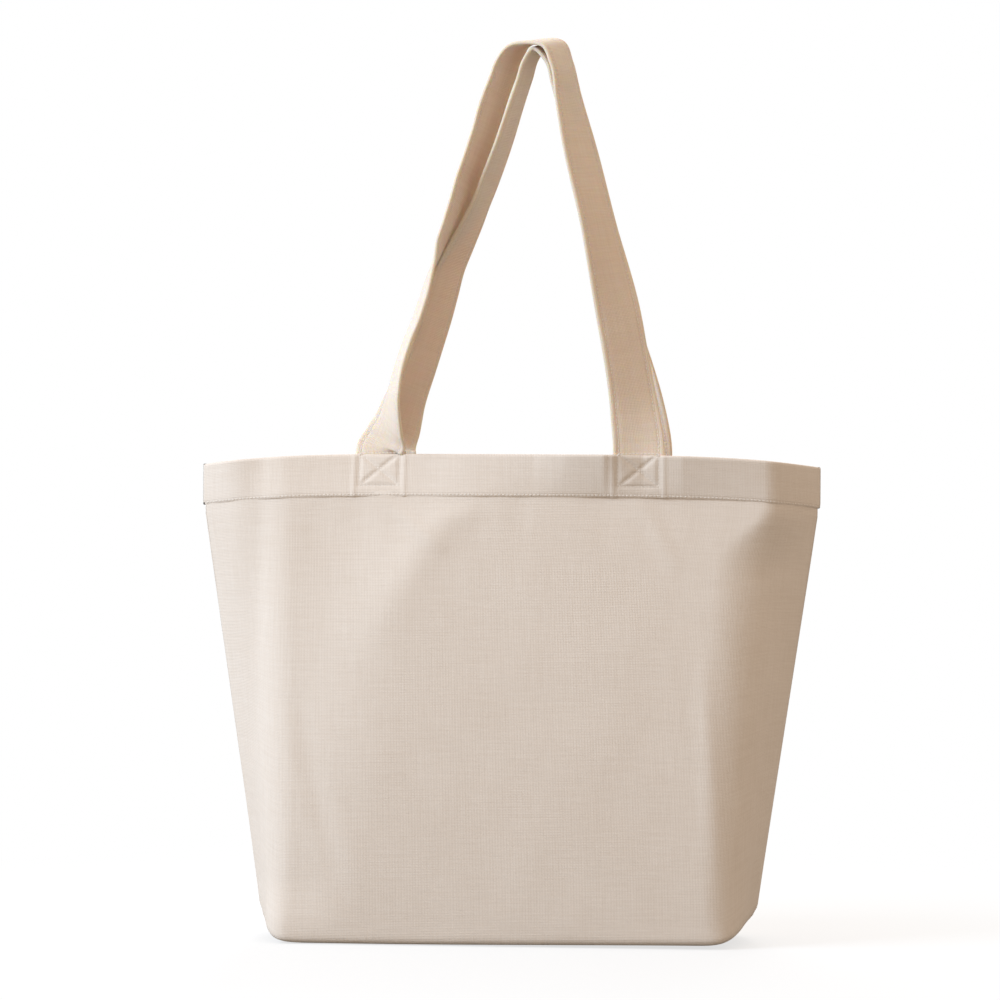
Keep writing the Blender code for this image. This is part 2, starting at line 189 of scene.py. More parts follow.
# %% Floor
FLOOR_HALF = 4.0
SHADOW_SHARE = 0.30         # how much of the floor near the bag the camera sees as lit, the rest is white
SHADOW_NEAR = 0.15          # that share holds out to this distance
SHADOW_REACH = 0.75         # and has faded out here, so that floor and room meet unseen
FLOOR_DROP = 0.0005         # the floor lies this far under the base

floor_material, tree = blank_material("pale_studio_floor")
grey = add_node(tree, "ShaderNodeBsdfDiffuse", {"Color": linear("#8F8980")})
pale = add_node(tree, "ShaderNodeBsdfDiffuse", {"Color": linear("#F4F4F4")})
glow = add_node(tree, "ShaderNodeEmission", {"Color": WHITE, "Strength": 1.0})
coordinates = add_node(tree, "ShaderNodeTexCoord")
distance = add_node(tree, "ShaderNodeVectorMath", {0: coordinates.outputs["Object"]}, operation="LENGTH")
lit_share = add_node(tree, "ShaderNodeMapRange",
                     {"Value": distance.outputs["Value"], "From Min": SHADOW_NEAR, "From Max": SHADOW_REACH,
                      "To Min": SHADOW_SHARE, "To Max": 0.0}, interpolation_type="SMOOTHSTEP")
shown = add_node(tree, "ShaderNodeMixShader",
                 {0: lit_share.outputs[0], 1: glow.outputs[0], 2: pale.outputs[0]})
either = add_node(tree, "ShaderNodeMixShader",
                  {0: seen_share(tree), 1: grey.outputs[0], 2: shown.outputs[0]})
add_node(tree, "ShaderNodeOutputMaterial", {"Surface": either.outputs[0]})

bm = bmesh.new()
bmesh.ops.create_grid(bm, x_segments=1, y_segments=1, size=FLOOR_HALF)
floor_mesh = bpy.data.meshes.new("studio_floor")
bm.to_mesh(floor_mesh)
bm.free()
floor_mesh.materials.append(floor_material)
floor = bpy.data.objects.new("studio_floor", floor_mesh)
bpy.context.collection.objects.link(floor)
floor.location.z = -FLOOR_DROP

# %% [markdown]
# ## Cloth and thread materials
# The bag is unbleached cotton duck, a heavy plain weave. Each warp thread passes over one weft thread
# and under the next, so the surface is a checker of small rounded bumps. Natural cotton threads vary
# in thickness and colour from one to the next, which shows as faint streaks along both directions.
# The weave is drawn from each piece's own UV map, which is in metres of cloth, so that it follows the
# cloth round folds and along the straps.

# %% Woven cotton
DUCK_THREAD = 0.00125       # real duck has about 0.9 mm between threads, drawn coarser so that it shows
STRAP_THREAD = 0.00125
STREAK = 0.55               # strength of the thread-to-thread streaks


def woven_cotton(name, shade_hex, light_hex, thread, blotch=0.5, glow=0.0):
    """Cotton duck: weave bumps with painted shade between the threads, streaks and blotches; glow is the
    light that a thin strap lets through.
    """
    material, tree = blank_material(name)
    metres = add_node(tree, "ShaderNodeUVMap", uv_map="cloth_metres")
    threads = add_node(tree, "ShaderNodeVectorMath",
                       {0: metres.outputs[0], 1: (1 / thread,) * 3}, operation="MULTIPLY")
    axes = add_node(tree, "ShaderNodeSeparateXYZ", {0: threads.outputs[0]})
    waves, ridges = [], []
    for axis in ("X", "Y"):
        turn = add_node(tree, "ShaderNodeMath", {0: axes.outputs[axis], 1: math.pi}, operation="MULTIPLY")
        wave = add_node(tree, "ShaderNodeMath", {0: turn.outputs[0]}, operation="SINE")
        ridge = add_node(tree, "ShaderNodeMath", {0: wave.outputs[0]}, operation="ABSOLUTE")
        waves.append(wave)
        ridges.append(ridge)
    crossing = add_node(tree, "ShaderNodeMath",
                        {0: waves[0].outputs[0], 1: waves[1].outputs[0]}, operation="MULTIPLY")
    warp = add_node(tree, "ShaderNodeMath",
                    {0: ridges[0].outputs[0], 1: crossing.outputs[0]}, operation="ADD")
    weft = add_node(tree, "ShaderNodeMath",
                    {0: ridges[1].outputs[0], 1: crossing.outputs[0]}, operation="SUBTRACT")
    height = add_node(tree, "ShaderNodeMath", {0: warp.outputs[0], 1: weft.outputs[0]}, operation="MAXIMUM")

    # streaks: long and thin along the warp, and along the weft
    streaks = []
    for stretch in ((0.8, 0.035, 1.0), (0.035, 0.8, 1.0)):
        drawn = add_node(tree, "ShaderNodeVectorMath",
                         {0: threads.outputs[0], 1: stretch}, operation="MULTIPLY")
        streaks.append(add_node(tree, "ShaderNodeTexNoise",
                                {"Vector": drawn.outputs[0], "Scale": 1.0, "Detail": 2.0},
                                noise_dimensions="2D"))
    streak = add_node(tree, "ShaderNodeMath",
                      {0: streaks[0].outputs[0], 1: streaks[1].outputs[0]}, operation="ADD")
    faint = add_node(tree, "ShaderNodeMath", {0: streak.outputs[0], 1: STREAK}, operation="MULTIPLY")
    coordinates = add_node(tree, "ShaderNodeTexCoord")
    cloud = add_node(tree, "ShaderNodeTexNoise",
                     {"Vector": coordinates.outputs["Object"], "Scale": 14.0, "Detail": 3.0})
    cloudy = add_node(tree, "ShaderNodeMath", {0: cloud.outputs[0], 1: blotch}, operation="MULTIPLY")
    mottled = add_node(tree, "ShaderNodeMath", {0: faint.outputs[0], 1: cloudy.outputs[0]}, operation="ADD")
    middle = STREAK + blotch / 2
    tone = add_node(tree, "ShaderNodeMapRange",
                    {"Value": mottled.outputs[0], "From Min": middle - 0.5, "From Max": middle + 0.5})
    # painted shade: the hollows between the threads are darker and the thread crowns a touch lighter
    painted_gap_shade = add_node(tree, "ShaderNodeMapRange",
                      {"Value": height.outputs[0], "From Min": 0.0, "From Max": 2.0,
                       "To Min": 0.95, "To Max": 1.02})
    cotton = add_node(tree, "ShaderNodeMix",
                      {0: tone.outputs[0], 6: linear(shade_hex), 7: linear(light_hex)},
                      data_type="RGBA")
    gap_shaded_cotton = add_node(tree, "ShaderNodeVectorMath",
                    {0: cotton.outputs[2], "Scale": painted_gap_shade.outputs[0]}, operation="SCALE")
    uneven = add_node(tree, "ShaderNodeMath", {0: streak.outputs[0], 1: 0.5}, operation="MULTIPLY")
    relief = add_node(tree, "ShaderNodeMath", {0: height.outputs[0], 1: uneven.outputs[0]}, operation="ADD")
    bump = add_node(tree, "ShaderNodeBump",
                    {"Height": relief.outputs[0], "Strength": 0.40, "Distance": thread * 0.20})
    shader = add_node(tree, "ShaderNodeBsdfPrincipled",
                      {"Base Color": gap_shaded_cotton.outputs[0], "Roughness": 0.92, "Specular IOR Level": 0.25,
                       "Sheen Weight": 0.08, "Sheen Roughness": 0.6, "Subsurface Weight": glow,
                       "Subsurface Radius": (1.0, 0.6, 0.2), "Subsurface Scale": 0.007,
                       "Normal": bump.outputs[0]})
    add_node(tree, "ShaderNodeOutputMaterial", {"Surface": shader.outputs[0]})
    return material


natural_duck = woven_cotton("natural_cotton_duck", "#E0D2C3", "#EEE3D7", DUCK_THREAD)
strap_duck = woven_cotton("folded_cotton_duck_strap", "#DBCBB7", "#ECE0D2", STRAP_THREAD, glow=0.45)
raw_edges = woven_cotton("raw_duck_seam_edge", "#D6C6B3", "#E7DACB", DUCK_THREAD, blotch=1.0)

# %% [markdown]
# The sewing thread is a plied cotton: two or three yarns twisted together. Up close that is a row of
# slanting ridges, so the bump is a wave that runs diagonally round each stitch.

# %% Sewing thread
PLY_PITCH = 0.0011          # length of one twist, drawn coarser than the real 0.5 mm


def twisted_thread(name, hex_colour):
    """Plied cotton thread: slanting ridges and a little fuzz."""
    material, tree = blank_material(name)
    coordinates = add_node(tree, "ShaderNodeTexCoord")
    slanted = add_node(tree, "ShaderNodeMapping",
                       {"Vector": coordinates.outputs["Object"], "Rotation": (0.0, 0.6, 0.6)})
    twist = add_node(tree, "ShaderNodeTexWave",
                     {"Vector": slanted.outputs[0], "Scale": 2 * math.pi / PLY_PITCH / 20})
    fuzz = add_node(tree, "ShaderNodeTexNoise", {"Vector": coordinates.outputs["Object"], "Scale": 900.0})
    tone = add_node(tree, "ShaderNodeMapRange", {"Value": fuzz.outputs[0], "To Min": 0.90, "To Max": 1.04})
    tinted = add_node(tree, "ShaderNodeVectorMath", {0: linear(hex_colour)[:3], "Scale": tone.outputs[0]},
                      operation="SCALE")
    bump = add_node(tree, "ShaderNodeBump",
                    {"Height": twist.outputs["Fac"], "Strength": 0.4, "Distance": 0.0001})
    shader = add_node(tree, "ShaderNodeBsdfPrincipled",
                      {"Base Color": tinted.outputs[0], "Roughness": 0.7, "Sheen Weight": 0.1,
                       "Normal": bump.outputs[0]})
    add_node(tree, "ShaderNodeOutputMaterial", {"Surface": shader.outputs[0]})
    return material


sewing_thread = twisted_thread("plied_cotton_sewing_thread", "#EFE6DB")

# %% [markdown]
# ## The shape of the bag
# A tote is a loft: its outline is wide and shallow at the rim and narrower but deeper at the base,
# with soft upright corners that tighten towards the boxed bottom. One function gives half the outline
# at any height, and every cloth piece below is laid on it. The driving sizes are read from the model.

# %% Sizes from the model
panel_low, panel_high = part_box("front_panel")
hem_low, hem_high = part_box("front_hem")

SETTLED = 0.003             # the standing cloth slumps this much
RIM_HEIGHT = hem_high.z - SETTLED
MOUTH_WIDTH = panel_high.x - panel_low.x
BASE_DEPTH = -2 * panel_low.y
HEM_PROUD = hem_high.x - panel_high.x
MOUTH_DEPTH = -2 * hem_low.y - 2 * HEM_PROUD
BASE_WIDTH = 0.383
CORNER_PLACE = 0.180        # the upright corners stand this far from the middle at every height
TAPER_TOP = 0.330           # the sides lean out up to here
CANVAS = 0.0012             # one layer of cloth
HEM_HEIGHT = 0.0332
HEM_THICKNESS = 0.0036      # three layers of canvas
RIM_DROOP = 0.0085          # the rim hangs lower at the side seams
HEM_LINE_DROOP = 0.0075
BASE_TILT = 0.0022          # the right end of the base stands this far off the ground
CORNER_LIFT = 0.022         # the side seam lifts the middle of each corner seam
LIFT_START = 0.150
FOLD_RADIUS = 0.004
CORNER_TIGHTEST, CORNER_SOFTEST = 0.012, 0.045
RIGHT_SOFTER = 1.6          # the right corner has been pressed rounder than the left
RIGHT_HEM_TIGHTER = 0.45    # but is tighter at the hem
TIGHTER_FROM = 0.30         # from this height up
MOUTH_CORNER_OUT = 0.024    # it opens out this far under the hem
OPENS_FROM, OPEN_AT = 0.285, 0.337    # between these heights
BULGE = 1.6                 # the walls close in almost evenly from the base up to the hem
GAP = 0.0003
print("mouth", round(MOUTH_WIDTH, 4), "x", round(MOUTH_DEPTH, 4), "base depth", round(BASE_DEPTH, 4))

# %% Outline of the bag at each height
def half_width(z):
    lean = (MOUTH_WIDTH - BASE_WIDTH) / 2
    return MOUTH_WIDTH / 2 - lean * max(0.0, 1.0 - z / TAPER_TOP)


def half_depth(z):
    rise = min(max(z / (RIM_HEIGHT - HEM_HEIGHT), 0.0), 1.0)
    return (MOUTH_DEPTH + (BASE_DEPTH - MOUTH_DEPTH) * (1.0 - rise ** BULGE)) / 2


def corner_place(z, opening):
    """The upright corners run straight up; opening is how far out they turn under the flat hem."""
    return CORNER_PLACE + opening * smooth_step(z, OPENS_FROM, OPEN_AT)


def corner_radius(z):
    return CORNER_TIGHTEST + (CORNER_SOFTEST - CORNER_TIGHTEST) * math.sqrt(max(z, 0.0) / RIM_HEIGHT)


def quarter_outline(z, radius, opening):
    """From the middle of the front to a side seam at height z, round a soft corner."""
    wide, deep, corner = half_width(z), half_depth(z), corner_place(z, opening)
    turn = math.atan2(deep, wide - corner)
    side_run = deep / math.sin(turn)
    radius = min(radius, 0.85 * side_run / math.tan(turn / 2))
    steps = np.linspace(0.0, turn, 30)
    arc_x = corner - radius * math.tan(turn / 2) + radius * np.sin(steps)
    arc_y = -deep + radius * (1.0 - np.cos(steps))
    return np.concatenate(([0.0], arc_x, [wide])), np.concatenate(([-deep], arc_y, [0.0]))


def half_outline(z):
    """Front half of the outline at height z, from the left side seam to the right one."""
    left_x, left_y = quarter_outline(z, corner_radius(z), 0.0)
    softer = RIGHT_SOFTER + (RIGHT_HEM_TIGHTER - RIGHT_SOFTER) * smooth_step(z, TIGHTER_FROM, OPEN_AT)
    right_x, right_y = quarter_outline(z, corner_radius(z) * softer, MOUTH_CORNER_OUT)
    return np.concatenate((-left_x[::-1], right_x[1:])), np.concatenate((left_y[::-1], right_y[1:]))


def outline_places(z, columns):
    """The outline at height z cut into equal lengths."""
    x, y = half_outline(z)
    run = np.concatenate(([0.0], np.cumsum(np.hypot(np.diff(x), np.diff(y)))))
    stops = np.linspace(0.0, run[-1], columns + 1)
    return np.interp(stops, run, x), np.interp(stops, run, y), run[-1]


def droop(x):
    return min(abs(x) / (MOUTH_WIDTH / 2), 1.0) ** 4


def rim_line(x):
    return RIM_HEIGHT - RIM_DROOP * droop(x)


def hem_line(x):
    return RIM_HEIGHT - HEM_HEIGHT - HEM_LINE_DROOP * droop(x)


def corner_seam_lift(y):
    return CORNER_LIFT * max(0.0, 1.0 - (y / half_depth(0.0)) ** 2)


def corner_seam_x(y):
    bow = half_width(CORNER_LIFT) - CORNER_PLACE
    return CORNER_PLACE + bow * corner_seam_lift(y) / CORNER_LIFT


def base_height(x, y):
    ramp = min(max((abs(x) - LIFT_START) / (corner_seam_x(y) - LIFT_START), 0.0), 1.0)
    return corner_seam_lift(y) * ramp ** 2 + base_tilt(x)


def base_tilt(x):
    """The right end of the base doesn't quite touch the ground."""
    return BASE_TILT * smooth_step(x, -0.10, 0.19)


# %% [markdown]
# ## How this bag has settled
# Cloth that has been handled isn't a clean loft. The left third of the front falls back from a soft
# diagonal ridge, the hem leans back at the left and tips forward at the right of the middle, and a
# few shallow dents and creases run down from the stitched strap ends. All of that is written once, as
# small shifts of the cloth, so that the panel, its hem and the stitches on it move together.

# %% Falls and creases of the front
RIDGE_SLOPE = 0.150
RIDGE_SOFT = 0.010
RIDGE_FOOT_X, RIDGE_RUN, RIDGE_BEND = -0.126, 0.093, 3.5
RIDGE_TOP = 0.345
MOST_SET_BACK = 0.0095
ENDS_CALM = (0.19, 0.235)   # the falls fade out between these distances from the middle
SEAM_CALM = 0.035           # and towards the side seams, over this depth


def ridge_x(z):
    """The soft ridge starts near the middle under the hem and bends down to the left corner."""
    return RIDGE_FOOT_X + RIDGE_RUN * (min(max(z, 0.0), RIDGE_TOP) / RIDGE_TOP) ** RIDGE_BEND


def set_back(x, z):
    """How far the cloth left of the ridge falls back towards the middle of the bag."""
    past = ridge_x(z) - x
    fall = RIDGE_SLOPE * RIDGE_SOFT * math.log1p(math.exp(min(past / RIDGE_SOFT, 30.0)))
    fall = MOST_SET_BACK * math.tanh(fall / MOST_SET_BACK)
    return fall * smooth_step(z, 0.0, 0.05) * (1.0 - smooth_step(abs(x), *ENDS_CALM))


def hem_lean(x):
    """Lean of the hem in radians, back above zero and forward below it."""
    places = (-0.24, -0.12, -0.06, -0.015, 0.02, 0.045, 0.075, 0.105, 0.135, 0.17, 0.24)
    degrees = (6, 16, 15, 10, 3, -9, -18, -4, -12, -9, -4)
    return math.radians(float(np.interp(x, places, degrees)))


def mouth_shift(x, z):
    """Shift towards the middle of the bag of everything at the mouth, fading out up the straps."""
    above_hem_line = min(max(z - hem_line(x), 0.0), HEM_HEIGHT)
    calm = 1.0 - smooth_step(z, RIM_HEIGHT + 0.004, RIM_HEIGHT + 0.05)
    ends = 1.0 - smooth_step(abs(x), *ENDS_CALM)
    return (set_back(x, min(z, RIM_HEIGHT)) + above_hem_line * math.tan(hem_lean(x)) * ends) * calm


def near_line(x, z, line):
    """The share along a straight line where a place lies, and its distance from the line."""
    (ax, az), (bx, bz) = line
    along = ((x - ax) * (bx - ax) + (z - az) * (bz - az)) / ((bx - ax) ** 2 + (bz - az) ** 2)
    clamped = min(max(along, 0.0), 1.0)
    return along, math.hypot(x - ax - (bx - ax) * clamped, z - az - (bz - az) * clamped)


def crease(x, z, start, end, width, depth):
    """A straight soft crease between two places on a wall, in metres out of the cloth."""
    along, away = near_line(x, z, (start, end))
    fade = math.sin(math.pi * along) if 0.0 < along < 1.0 else 0.0
    return depth * fade * math.exp(-(away / width) ** 2)


# %% [markdown]
# ## A flat cloth, ready to be folded
# A sewn thing starts flat. A bmesh grid is that flat cloth: its UV map is written while it still lies
# in the plane, in metres, and only then is each vertex folded to its place. A strip is the same cloth
# rolled round a flat section with round edges, its two long edges merged and its ends closed.

# %% Cloth helpers
def flat_cloth(width, length, columns, rows):
    """A grid from x = -width/2 to width/2 and y = 0 to length, with its UV map in metres."""
    bm = bmesh.new()
    bmesh.ops.create_grid(bm, x_segments=columns, y_segments=rows, size=0.5)
    bmesh.ops.scale(bm, vec=(width, length, 1.0), verts=bm.verts)
    bmesh.ops.translate(bm, vec=(0.0, length / 2, 0.0), verts=bm.verts)
    metres = bm.loops.layers.uv.new("cloth_metres")
    for face in bm.faces:
        for loop in face.loops:
            loop[metres].uv = loop.vert.co.xy
    return bm


def stadium(walk, width, thickness):
    """The point walk metres round a flat section with round edges: across it, and out of it."""
    radius = thickness / 2
    straight = width - thickness
    quarter = math.pi * radius / 2
    half = straight + 2 * quarter
    walk %= 2 * half
    side = 1.0 if walk <= half else -1.0
    walk = walk if walk <= half else 2 * half - walk
    if walk < quarter:
        return -straight / 2 - radius * math.cos(walk / radius), side * radius * math.sin(walk / radius)
    if walk > half - quarter:
        left = (half - walk) / radius
        return straight / 2 + radius * math.cos(left), side * radius * math.sin(left)
    return walk - quarter - straight / 2, side * radius


def girth(width, thickness):
    return 2 * (width - thickness) + math.pi * thickness


def rolled_strip(length, width, thickness, steps, around, place):
    """A flat strip with round edges; place(along, across, out) puts each of its points."""
    girdle = girth(width, thickness)
    bm = flat_cloth(girdle, length, around, steps)
    for vert in bm.verts:
        across, out = stadium(vert.co.x + girdle / 2, width, thickness)
        vert.co = place(vert.co.y, across, out)
    bmesh.ops.remove_doubles(bm, verts=bm.verts, dist=1e-6)
    rims = [edge for edge in bm.edges if edge.is_boundary]
    bmesh.ops.holes_fill(bm, edges=rims, sides=0)
    bmesh.ops.recalc_face_normals(bm, faces=bm.faces)
    return bm


def finished_piece(name, bm, material):
    """Turn a bmesh into a smooth-shaded object in the material's slot."""
    mesh = bpy.data.meshes.new(name)
    bm.to_mesh(mesh)
    bm.free()
    mesh.materials.append(material)
    mesh.shade_smooth()
    piece = bpy.data.objects.new(name, mesh)
    bpy.context.collection.objects.link(piece)
    return piece


# %% [markdown]
# ## Panels
# Each panel is one piece of canvas: half of the base, the fold, and the wall up into the hem. It is
# cut almost rectangular, because the bag's taper comes from the boxed corners and not from the cut.
# The grid is folded onto the outline, the bottom fold is softened with smooth_vert, and then each
# vertex moves a little along its normal for the dents, the creases and the seams, which pull the
# cloth in. Solidify gives the layer its thickness on the inside.

# %% Fold a panel
PANEL_COLUMNS = 200
PANEL_ROWS = 168
HEM_TUCK = 0.004            # the panel runs this far up inside the hem
BASE_CLOTH = BASE_DEPTH / 2 - FOLD_RADIUS
PANEL_WIDTH = outline_places(RIM_HEIGHT, PANEL_COLUMNS)[2]
PANEL_LENGTH = BASE_CLOTH + FOLD_RADIUS * math.pi / 2 + RIM_HEIGHT - HEM_HEIGHT - FOLD_RADIUS + HEM_TUCK
BASE_SEAM_SHORT = 0.012

RIB_HEIGHTS = np.linspace(0.0, RIM_HEIGHT, 96)
RIBS = [outline_places(z, PANEL_COLUMNS) for z in RIB_HEIGHTS]
RIB_X = np.array([rib[0] for rib in RIBS])
RIB_Y = np.array([rib[1] for rib in RIBS])


def wall_place(column, z):
    """The cloth of this column at height z, on the plain outline."""
    x = float(np.interp(z, RIB_HEIGHTS, RIB_X[:, column]))
    y = float(np.interp(z, RIB_HEIGHTS, RIB_Y[:, column]))
    return Vector((x, y, z))


def panel_place(across, up):
    """Where the flat cloth's point goes: across from the left seam, up from the base's centre seam."""
    column = round((across / PANEL_WIDTH + 0.5) * PANEL_COLUMNS)
    share = 2.0 * column / PANEL_COLUMNS - 1.0
    low = corner_seam_lift(RIB_Y[0, column]) + FOLD_RADIUS + base_tilt(RIB_X[0, column])
    high = hem_line(RIB_X[-1, column]) + HEM_TUCK
    wall_start = BASE_CLOTH + FOLD_RADIUS * math.pi / 2
    if up >= wall_start:
        rise = (up - wall_start) / (PANEL_LENGTH - wall_start)
        return wall_place(column, low + (high - low) * rise)
    corner = wall_place(column, low)
    fold = Vector((corner.x * (1.0 - FOLD_RADIUS / half_width(0.0)),
                   corner.y * (1.0 - FOLD_RADIUS / half_depth(0.0))))
    if up > BASE_CLOTH:
        turn = (up - BASE_CLOTH) / FOLD_RADIUS
        x = fold.x + (corner.x - fold.x) * math.sin(turn)
        y = fold.y + (corner.y - fold.y) * math.sin(turn)
        floor_z = base_height(fold.x, fold.y)
        return Vector((x, y, floor_z + (low - floor_z) * (1.0 - math.cos(turn))))
    seam = Vector(((half_width(CORNER_LIFT) - BASE_SEAM_SHORT) * math.sin(share * math.pi / 2), -GAP / 2))
    x, y = fold.lerp(seam, 1.0 - up / BASE_CLOTH)
    return Vector((x, y, base_height(x, y)))


# %% Dents, creases and sunk seams
SEAM_SINK = 0.0011
SEAM_SINK_WIDTH = 0.0022
CREST_HIGH, CREST_WIDE, CREST_PAST = 0.0014, 0.019, 0.004


def front_dents(x, z):
    """Shallow hand-sized unevenness and the creases of the front, in metres out of the cloth."""
    soft = 0.0011 * noise.noise(Vector((x * 9.0, z * 5.0, 0.3)))
    soft += 0.0004 * noise.noise(Vector((x * 30.0, z * 18.0, 4.1)))
    under_hem = smooth_step(z, 0.27, 0.345)
    pucker = 0.0006 * noise.noise(Vector((x * 45.0, z * 6.0, 8.2))) * under_hem
    crest = CREST_HIGH * math.exp(-((x - ridge_x(z) - CREST_PAST) / CREST_WIDE) ** 2)
    lines = crest * smooth_step(z, 0.20, 0.29) * (1.0 - smooth_step(z, 0.325, 0.343))
    lines += crease(x, z, (-0.10, 0.345), (-0.045, 0.300), 0.006, 0.0012)
    lines += crease(x, z, (0.10, 0.345), (0.135, 0.285), 0.007, 0.0010)
    lines -= crease(x, z, (-0.165, 0.200), (-0.120, 0.020), 0.009, 0.0010)
    lines += crease(x, z, (0.150, 0.240), (0.166, 0.030), 0.008, 0.0012)
    return soft + pucker + lines


def back_dents(x, z):
    """The back has its own unevenness."""
    soft = 0.0014 * noise.noise(Vector((x * 8.0, z * 5.5, 21.7)))
    soft += 0.0005 * noise.noise(Vector((x * 26.0, z * 16.0, 33.1)))
    lines = crease(x, z, (0.02, 0.330), (-0.090, 0.160), 0.010, 0.0013)
    lines -= crease(x, z, (-0.14, 0.300), (-0.060, 0.060), 0.012, 0.0011)
    return soft + lines


def from_fold(up):
    """Distance on the flat cloth from the middle of the bottom fold."""
    return abs(up - BASE_CLOTH - FOLD_RADIUS * 0.8)


def folded_panel(dents, settle):
    """A panel made as for the front; dents gives its unevenness and settle its falls."""
    bm = flat_cloth(PANEL_WIDTH, PANEL_LENGTH, PANEL_COLUMNS, PANEL_ROWS)
    bm.verts.ensure_lookup_table()
    cut = [vert.co.copy() for vert in bm.verts]
    for vert, place in zip(bm.verts, cut):
        vert.co = panel_place(place.x, place.y)
    near_fold = [vert for vert, place in zip(bm.verts, cut)
                 if from_fold(place.y) < 0.011 and not vert.is_boundary]
    for _ in range(3):
        bmesh.ops.smooth_vert(bm, verts=near_fold, factor=0.4,
                              use_axis_x=True, use_axis_y=True, use_axis_z=True)
    bm.normal_update()
    places = []
    for vert, place in zip(bm.verts, cut):
        to_edge = min(PANEL_WIDTH / 2 - abs(place.x), place.y)
        at_corner = smooth_step(abs(vert.co.x), 0.182, 0.190)
        to_fold = from_fold(place.y) + (1.0 - at_corner)
        sunk = math.exp(-(to_edge / SEAM_SINK_WIDTH) ** 2)
        sunk += 0.8 * math.exp(-(to_fold / SEAM_SINK_WIDTH) ** 2)
        calm = smooth_step(to_edge, 0.0, 0.02) * smooth_step(vert.co.z, 0.0, 0.02)
        out = dents(vert.co.x, vert.co.z) * calm - SEAM_SINK * sunk
        moved = vert.co + vert.normal * out
        if vert.co.z > FOLD_RADIUS:
            moved.y += settle(vert.co.x, vert.co.z) * smooth_step(-vert.co.y, 0.0, SEAM_CALM)
        moved.y = min(moved.y, -GAP / 2)
        moved.z = max(moved.z, 0.0)
        places.append(moved)
    for vert, place in zip(bm.verts, places):
        vert.co = place
    return bm


def turn_to_back(bm):
    """Reflect a piece made for the front, which takes it to the back."""
    for vert in bm.verts:
        vert.co.y = -vert.co.y
    bmesh.ops.reverse_faces(bm, faces=bm.faces)


def give_thickness(piece, thickness):
    layer = piece.modifiers.new("cloth_thickness", "SOLIDIFY")
    layer.thickness = thickness
    layer.offset = -1.0


def no_settle(x, z):
    return 0.0


for label, dents, settle in (("front", front_dents, set_back), ("back", back_dents, no_settle)):
    bm = folded_panel(dents, settle)
    if label == "back":
        turn_to_back(bm)
    cloth = finished_piece(label + "_panel_cloth", bm, natural_duck)
    give_thickness(cloth, CANVAS)
    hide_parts(label + "_panel")
    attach(cloth, "bag")
    print(cloth.name, len(cloth.data.polygons), "faces")

# %% [markdown]
# ## Hem
# The rim is folded over twice and stitched down, so it is three layers thick and stands a little
# proud of the panel. Where a strap is sewn behind it, the layers are quilted: the stitched square and
# its cross pull in and the cloth between puffs up. The hem is a rolled strip laid along the mouth,
# and its outer face carries that relief as real geometry.

# %% Lines of the stitched squares
def square_and_cross(node):
    """The six stitched lines that hold a strap end, as pairs of (x, z), from the node's box."""
    low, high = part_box(node)
    a, b, c, d = (low.x, low.z), (high.x, low.z), (high.x, high.z), (low.x, high.z)
    return [(a, b), (b, c), (c, d), (d, a), (a, c), (b, d)]


SQUARES = {
    "front": [square_and_cross(f"front_{end}_box_stitch") for end in ("left", "right")],
    "back": [square_and_cross(f"back_{end}_box_stitch") for end in ("left", "right")],
}


QUILT_REACH = 0.008         # the relief reaches this far past a square's sides
LINE_SINK, LINE_SINK_WIDTH = 0.00055, 0.0010
PUFF = 0.00045              # the cloth between the lines stands this proud
STRAP_RIDGE, STRAP_RIDGE_WIDTH = 0.0006, 0.0016
STRAP_RIDGE_OUT = 0.004     # the strap's edges show through this far outside a square


def quilting(x, z, label):
    """Relief of the stitched squares: sunk lines with puffed cloth between."""
    relief = 0.0
    for lines in SQUARES[label]:
        (left, low), (right, high) = lines[4]
        if left - QUILT_REACH < x < right + QUILT_REACH:
            nearest = min(near_line(x, z, line)[1] for line in lines)
            relief -= LINE_SINK * math.exp(-(nearest / LINE_SINK_WIDTH) ** 2)
            inside = min(x - left, right - x, z - low, high - z)
            relief += PUFF * smooth_step(inside, -0.001, 0.003) * smooth_step(nearest, 0.0006, 0.0035)
            to_ridge = min(abs(x - left + STRAP_RIDGE_OUT), abs(x - right - STRAP_RIDGE_OUT))
            relief += STRAP_RIDGE * math.exp(-(to_ridge / STRAP_RIDGE_WIDTH) ** 2)
    return relief


# %% Lay the hem along the mouth
HEM_STEPS = 396
HEM_AROUND = 72
HEM_END_SINK = 0.0003
HEM_ROW_UP = 0.0018         # the row of stitches runs this far above the hem line
ROW_VALLEY, ROW_VALLEY_WIDTH = 0.00045, 0.0009
MOUTH_X, MOUTH_Y, MOUTH_RUN = outline_places(RIM_HEIGHT, HEM_STEPS)
MOUTH_X = MOUTH_X * (1.0 + HEM_PROUD / (MOUTH_WIDTH / 2))
MOUTH_Y = MOUTH_Y * (1.0 + HEM_PROUD / (MOUTH_DEPTH / 2))
MOUTH_STOPS = np.linspace(0.0, MOUTH_RUN, HEM_STEPS + 1)
MOUTH_SLOPE_X = np.gradient(MOUTH_X, MOUTH_STOPS)
MOUTH_SLOPE_Y = np.gradient(MOUTH_Y, MOUTH_STOPS)


def hem_wrinkles(x, z, label):
    """Small ripples of the hem, stronger at its ends."""
    seed = 2.2 if label == "front" else 17.4
    ripple = noise.noise(Vector((x * 55.0, z * 40.0, seed)))
    swell = noise.noise(Vector((x * 16.0, z * 9.0, seed + 5.0)))
    ends = 0.5 + smooth_step(abs(x), 0.14, 0.21)
    return 0.00028 * ripple * ends + 0.0006 * swell


def hem_out(along):
    """Direction out of the hem at a place along the mouth."""
    return Vector((float(np.interp(along, MOUTH_STOPS, MOUTH_SLOPE_Y)),
                   -float(np.interp(along, MOUTH_STOPS, MOUTH_SLOPE_X)), 0.0)).normalized()


